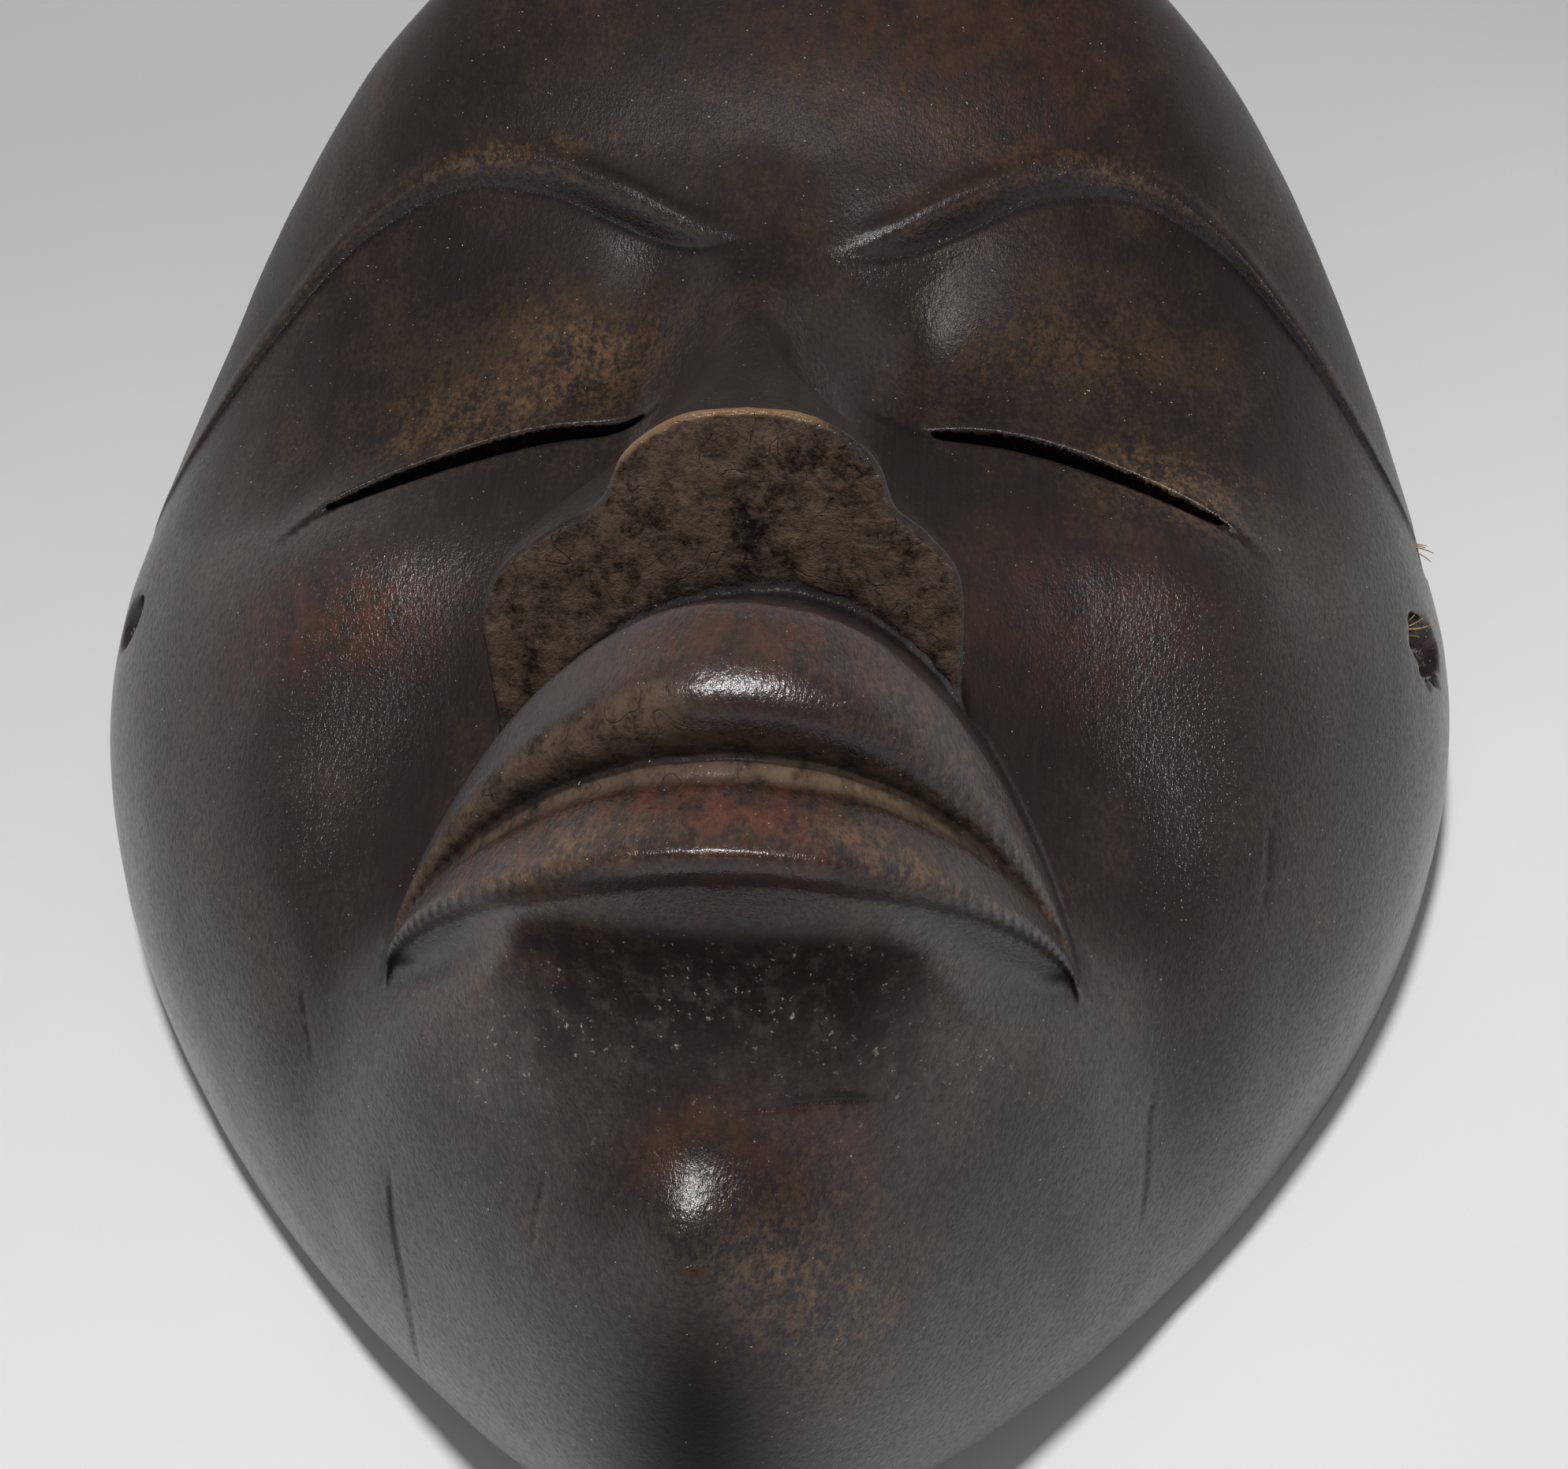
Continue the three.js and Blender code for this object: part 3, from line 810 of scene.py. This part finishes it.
class Paint:
    """Builds a material's nodes. Sizes are in millimetres on the object."""

    def __init__(self, name):
        self.material = bpy.data.materials.new(name)
        self.material.use_nodes = True
        self.tree = self.material.node_tree
        self.shader = self.tree.nodes["Principled BSDF"]
        self.place = self.tree.nodes.new("ShaderNodeTexCoord").outputs["Object"]

    def node(self, kind, inputs=(), **settings):
        made = self.tree.nodes.new(kind)
        for key, value in settings.items():
            setattr(made, key, value)
        for key, value in dict(inputs).items():
            self.feed(made.inputs[key], value)
        return made

    def feed(self, socket, value):
        if isinstance(value, bpy.types.NodeSocket):
            self.tree.links.new(value, socket)
        else:
            socket.default_value = value

    def noise(self, size, detail=3.0, roughness=0.55, shift=0.0, warp=0.0):
        """Noise from 0 to 1 with lumps of that size, given as one number or one for each axis."""
        sizes = (size, size, size) if np.isscalar(size) else size
        scale = tuple(1 / (MM * length) for length in sizes)
        spread = self.node("ShaderNodeMapping", {"Vector": self.place, "Scale": scale,
                                                 "Location": (shift, 2 * shift, 3 * shift)})
        made = self.node("ShaderNodeTexNoise", {"Vector": spread.outputs["Vector"], "Scale": 1.0,
                                                "Detail": detail, "Roughness": roughness, "Distortion": warp})
        return made.outputs["Fac"]

    def layer(self, name):
        return self.node("ShaderNodeAttribute", attribute_name=name).outputs["Fac"]

    def ramp(self, value, start, end, low=0.0, high=1.0):
        limits = {"Value": value, "From Min": start, "From Max": end, "To Min": low, "To Max": high}
        made = self.node("ShaderNodeMapRange", limits, interpolation_type="SMOOTHSTEP")
        return made.outputs["Result"]

    def math(self, operation, a, b=0.0):
        made = self.node("ShaderNodeMath", {0: a, 1: b}, operation=operation)
        return made.outputs["Value"]

    def times(self, *values):
        total = values[0]
        for value in values[1:]:
            total = self.math("MULTIPLY", total, value)
        return total

    def blend(self, share, a, b):
        """Colour a where share is 0, and b where it is 1."""
        made = self.node("ShaderNodeMix", data_type="RGBA")
        made.clamp_factor = True
        self.feed(made.inputs[0], share)
        for socket, colour in ((made.inputs[6], a), (made.inputs[7], b)):
            self.feed(socket, colour if isinstance(colour, bpy.types.NodeSocket) else (*colour, 1))
        return made.outputs[2]

    def bump(self, height, depth, strength=1.0, under=None):
        """A normal that the height, from 0 to 1, lifts by depth millimetres."""
        made = self.node("ShaderNodeBump", {"Height": height, "Distance": depth * MM, "Strength": strength})
        if under is not None:
            self.feed(made.inputs["Normal"], under)
        return made.outputs["Normal"]


BLACK_BROWN = (0.0075, 0.0048, 0.0042)
DARK_BROWN = (0.0140, 0.0082, 0.0068)
UMBER = (0.038, 0.024, 0.015)
TAN = (0.17, 0.095, 0.042)
RUSSET = (0.085, 0.021, 0.009)
OCHRE = (0.125, 0.088, 0.055)
CRUST = (0.125, 0.088, 0.064)
DUST = (0.36, 0.34, 0.28)
# a grey film: partly dust, partly painted sheen
DUST_AND_SHEEN_FILM = (0.11, 0.105, 0.10)
BARE_WOOD = (0.085, 0.045, 0.024)
BARE_GRAIN = (0.035, 0.020, 0.012)
# near-black brown for the painted shade
PAINTED_SHADE_BROWN = (0.0045, 0.0030, 0.0027)


def patina(paint, clouds, speckle):
    """The dark surface, with its grain and worn patches."""
    grain = paint.noise((0.55, 14, 0.55), 4, 0.6)
    tone = paint.math("ADD", paint.times(grain, 0.5), paint.times(clouds, 0.5))
    colour = paint.blend(paint.ramp(tone, 0.36, 0.66), BLACK_BROWN, DARK_BROWN)
    worn = paint.math("ADD", paint.times(clouds, 0.55), paint.times(speckle, 0.45))
    worn = paint.math("ADD", worn, paint.times(paint.layer("rub"), 0.12))
    return paint.blend(paint.times(paint.ramp(worn, 0.50, 0.72), 0.75), colour, UMBER)


def stains(paint, colour, streaks, speckle, blotches):
    """Red and tan stains, pale edges and the ochre between the lips."""
    stained = paint.math("ADD", blotches, paint.times(streaks, 0.4))
    colour = paint.blend(paint.times(paint.layer("red"), paint.ramp(stained, 0.50, 0.86)), colour, RUSSET)
    scuffs = paint.math("ADD", paint.times(blotches, 0.5), paint.times(speckle, 0.5))
    colour = paint.blend(paint.times(paint.layer("tan"), paint.ramp(scuffs, 0.42, 0.66)), colour, TAN)
    edge = paint.math("ADD", paint.layer("edge"), paint.times(scuffs, 0.7))
    colour = paint.blend(paint.ramp(edge, 0.78, 1.25), colour, TAN)
    return paint.blend(paint.times(paint.layer("ochre"), paint.ramp(blotches, 0.2, 0.62)), colour, OCHRE)


def deposits(paint, colour, streaks, blotches, crumbs):
    """Crust, bare wood in the hollow, painted shade in creases and recesses, and dust whose film and specks
    are partly painted sheen and glints.
    """
    colour = paint.blend(paint.times(paint.layer("crust"), paint.ramp(crumbs, 0.38, 0.58)), colour, CRUST)
    bare_tone = paint.blend(paint.ramp(streaks, 0.35, 0.65), BARE_WOOD, BARE_GRAIN)
    colour = paint.blend(paint.layer("bare"), colour, bare_tone)
    # painted shade in the creases, on the eye slits' walls and under the lower lip, and the darker patch
    # under the chin's knob
    colour = paint.blend(paint.times(paint.layer("painted_shade"), 0.75), colour, PAINTED_SHADE_BROWN)
    dust = paint.layer("dust")
    flecks = paint.ramp(paint.noise((0.8, 0.7, 0.8), 2.5, 0.75, 31), 0.62, 0.70)
    # a grey film over the dust under the lips: partly dust, partly painted sheen
    colour = paint.blend(paint.times(dust, paint.ramp(blotches, 0.45, 0.75), 0.35), colour, DUST_AND_SHEEN_FILM)
    colour = paint.blend(paint.times(dust, flecks, paint.ramp(blotches, 0.42, 0.6)), colour, DUST)
    # pale specks scattered all over: partly dust, partly painted glints
    dust_and_glint_specks = paint.ramp(paint.noise((0.4, 0.4, 0.4), 1, 0.5, 37), 0.775, 0.80)
    return paint.blend(paint.times(dust_and_glint_specks, 0.8), colour, DUST)


def wood_gloss(paint, clouds, speckle):
    """A dull surface under a thin polish that matt places don't have."""
    matt = paint.math("MAXIMUM", paint.layer("bare"), paint.layer("ochre"))
    matt = paint.math("MAXIMUM", paint.layer("crust"), matt)
    uneven = paint.math("ADD", paint.times(clouds, 0.5), paint.times(speckle, 0.5))
    rough = paint.ramp(uneven, 0.3, 0.7, 0.56, 0.74)
    rough = paint.math("SUBTRACT", rough, paint.times(paint.layer("smooth"), 0.2))
    paint.feed(paint.shader.inputs["Roughness"], paint.math("ADD", rough, paint.times(matt, 0.2)))
    paint.shader.inputs["Specular IOR Level"].default_value = 0.16
    paint.shader.inputs["Coat IOR"].default_value = 1.65
    paint.shader.inputs["Coat Roughness"].default_value = 0.25
    unglazed = paint.math("SUBTRACT", 1.0, matt)
    coat = paint.times(unglazed, paint.layer("polish"), paint.ramp(speckle, 0.3, 0.62, 0.7, 1.0))
    paint.feed(paint.shader.inputs["Coat Weight"], coat)


def wood_relief(paint, streaks, speckle, crumbs):
    """Fine grain, pores, crust, tool marks and hairline cracks."""
    crust = paint.layer("crust")
    lines = paint.math("SUBTRACT", paint.noise((7, 7, 4.5), 1.5, 0.5, 43, 0.6), 0.5)
    hairlines = paint.times(crust, paint.ramp(paint.math("ABSOLUTE", lines), 0.0, 0.006, 1.0, 0.0))
    normal = paint.bump(paint.noise((0.22, 2.2, 0.22), 3, 0.6, 41), 0.06, 0.8)
    normal = paint.bump(speckle, 0.13, 0.8, normal)
    normal = paint.bump(paint.times(crust, crumbs), 0.4, 0.6, normal)
    normal = paint.bump(paint.times(paint.layer("bare"), streaks), 0.5, 0.8, normal)
    normal = paint.bump(hairlines, -0.3, 0.8, normal)
    paint.feed(paint.shader.inputs["Normal"], normal)
    paint.feed(paint.shader.inputs["Coat Normal"], normal)


def wood_material():
    paint = Paint("dark_patinated_wood")
    streaks = paint.noise((1.6, 26, 1.6), 3, 0.6, 5)
    clouds = paint.noise((9, 13, 9), 5, 0.62, 11)
    speckle = paint.noise((0.55, 0.9, 0.55), 3, 0.7, 17)
    blotches = paint.noise((2.4, 3.6, 2.4), 4, 0.7, 23)
    crumbs = paint.math("ADD", paint.times(blotches, 0.6), paint.times(clouds, 0.4))
    crumbs = paint.math("ADD", paint.times(crumbs, 0.75), paint.times(speckle, 0.25))
    colour = patina(paint, clouds, speckle)
    colour = stains(paint, colour, streaks, speckle, blotches)
    colour = deposits(paint, colour, streaks, blotches, crumbs)
    paint.feed(paint.shader.inputs["Base Color"], colour)
    wood_gloss(paint, clouds, speckle)
    wood_relief(paint, streaks, speckle, crumbs)
    return paint.material


def fibre_material():
    paint = Paint("dry_plant_fibre")
    tone = paint.noise((0.3, 0.3, 0.3), 3, 0.6, 3)
    colour = paint.blend(paint.ramp(tone, 0.3, 0.7), (0.17, 0.10, 0.045), (0.48, 0.33, 0.15))
    paint.feed(paint.shader.inputs["Base Color"], colour)
    paint.feed(paint.shader.inputs["Roughness"], paint.ramp(tone, 0.2, 0.8, 0.7, 0.95))
    paint.shader.inputs["Specular IOR Level"].default_value = 0.3
    hairs = paint.noise((0.08, 0.08, 0.08), 2, 0.6, 5)
    paint.feed(paint.shader.inputs["Normal"], paint.bump(hairs, 0.02, 0.8))
    return paint.material


def floor_material():
    paint = Paint("pale_table")
    split = paint.node("ShaderNodeSeparateXYZ", {"Vector": paint.place})
    # painted light falloff: the table's colour is lighter towards -Y and +X, standing in for the lamp's light
    # falling off with distance
    along = paint.math("ADD", paint.times(split.outputs["Y"], -1.0), paint.times(split.outputs["X"], 0.35))
    clouds = paint.times(paint.noise((60, 60, 60), 3, 0.5), 0.05)
    tone = paint.ramp(paint.math("ADD", along, clouds), -0.14, 0.15)
    colour = paint.blend(tone, (0.465, 0.48, 0.485), (0.77, 0.785, 0.80))
    paint.feed(paint.shader.inputs["Base Color"], colour)
    paint.shader.inputs["Roughness"].default_value = 0.6
    paint.feed(paint.shader.inputs["Normal"], paint.bump(paint.noise((0.6, 0.6, 0.6), 3, 0.6, 2), 0.03, 0.5))
    return paint.material


# ------------------------------------------------------------------ the shot

WALL_LIGHT, CEILING_LIGHT = 0.75, 0.12
FLOOR_HALF = 1.5                            # in metres, like the lamp's place and size
LAMP_PLACE, LAMP_TARGET = (-0.02, 0.0, 0.62), (-0.02, 0, 0)
LAMP_SIZE, LAMP_POWER, LAMP_COLOUR = 0.075, 3.2, (1, 0.985, 0.965)

CAMERA_TARGET = Vector((3.874, -42.086, 40.0)) * MM
CAMERA_DISTANCE = 229.4 * MM
CAMERA_AZIMUTH = math.radians(5.564)        # towards +X from straight below the chin
CAMERA_ELEVATION = math.radians(51.277)
CAMERA_ROLL = math.radians(-3.258)
CAMERA_LENS = 52.33                         # mm, on a 36 mm sensor


def add_camera():
    azimuth, elevation, roll = CAMERA_AZIMUTH, CAMERA_ELEVATION, CAMERA_ROLL
    back = Vector((math.sin(azimuth) * math.cos(elevation),
                   -math.cos(azimuth) * math.cos(elevation), math.sin(elevation)))
    level = Vector((math.cos(azimuth), math.sin(azimuth), 0))
    up = back.cross(level)
    right = level * math.cos(roll) + up * math.sin(roll)
    up = back.cross(right)
    data = bpy.data.cameras.new("camera")
    data.lens = CAMERA_LENS
    data.sensor_width = 36
    data.clip_start = 0.01
    camera = bpy.data.objects.new("camera", data)
    turn = Matrix((right, up, back)).transposed().to_4x4()
    camera.matrix_world = Matrix.Translation(CAMERA_TARGET + back * CAMERA_DISTANCE) @ turn
    bpy.context.collection.objects.link(camera)
    bpy.context.scene.camera = camera


def add_lamp():
    data = bpy.data.lights.new("overhead_lamp", "AREA")
    data.shape = "DISK"
    data.size = LAMP_SIZE
    data.energy = LAMP_POWER
    data.color = LAMP_COLOUR
    lamp = bpy.data.objects.new("overhead_lamp", data)
    lamp.location = LAMP_PLACE
    lamp.rotation_euler = (Vector(LAMP_TARGET) - Vector(LAMP_PLACE)).to_track_quat("-Z", "Y").to_euler()
    bpy.context.collection.objects.link(lamp)


def add_world():
    """A room that is bright along its walls and dim overhead."""
    world = bpy.data.worlds.new("pale_room")
    world.use_nodes = True
    nodes, links = world.node_tree.nodes, world.node_tree.links
    background = nodes["Background"]
    background.inputs["Color"].default_value = (1.0, 0.965, 0.94, 1)
    place = nodes.new("ShaderNodeTexCoord")
    split = nodes.new("ShaderNodeSeparateXYZ")
    fade = nodes.new("ShaderNodeMapRange")
    fade.inputs["From Min"].default_value = 0.1
    fade.inputs["From Max"].default_value = 0.75
    fade.inputs["To Min"].default_value = WALL_LIGHT
    fade.inputs["To Max"].default_value = CEILING_LIGHT
    links.new(place.outputs["Generated"], split.inputs["Vector"])
    links.new(split.outputs["Z"], fade.inputs["Value"])
    links.new(fade.outputs["Result"], background.inputs["Strength"])
    bpy.context.scene.world = world


def add_floor():
    mesh = bpy.data.meshes.new("table_top")
    ways = [(-1, -1), (1, -1), (1, 1), (-1, 1)]
    corners = [(across * FLOOR_HALF, along * FLOOR_HALF, 0) for across, along in ways]
    mesh.from_pydata(corners, [], [(0, 1, 2, 3)])
    floor = bpy.data.objects.new("table_top", mesh)
    floor.data.materials.append(floor_material())
    bpy.context.collection.objects.link(floor)


add_camera()
mask = carve_mask()
mask.data.materials.append(wood_material())
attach(mask, BODY)
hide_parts("mask_body")
strands("fibre_strands_lower", "fibre_lower_hole", HOLES[0], 1, 5)
strands("fibre_strands_upper", "fibre_upper_hole", HOLES[1], -1, 6)
add_floor()
add_lamp()
add_world()
bpy.context.scene.view_settings.view_transform = "Standard"
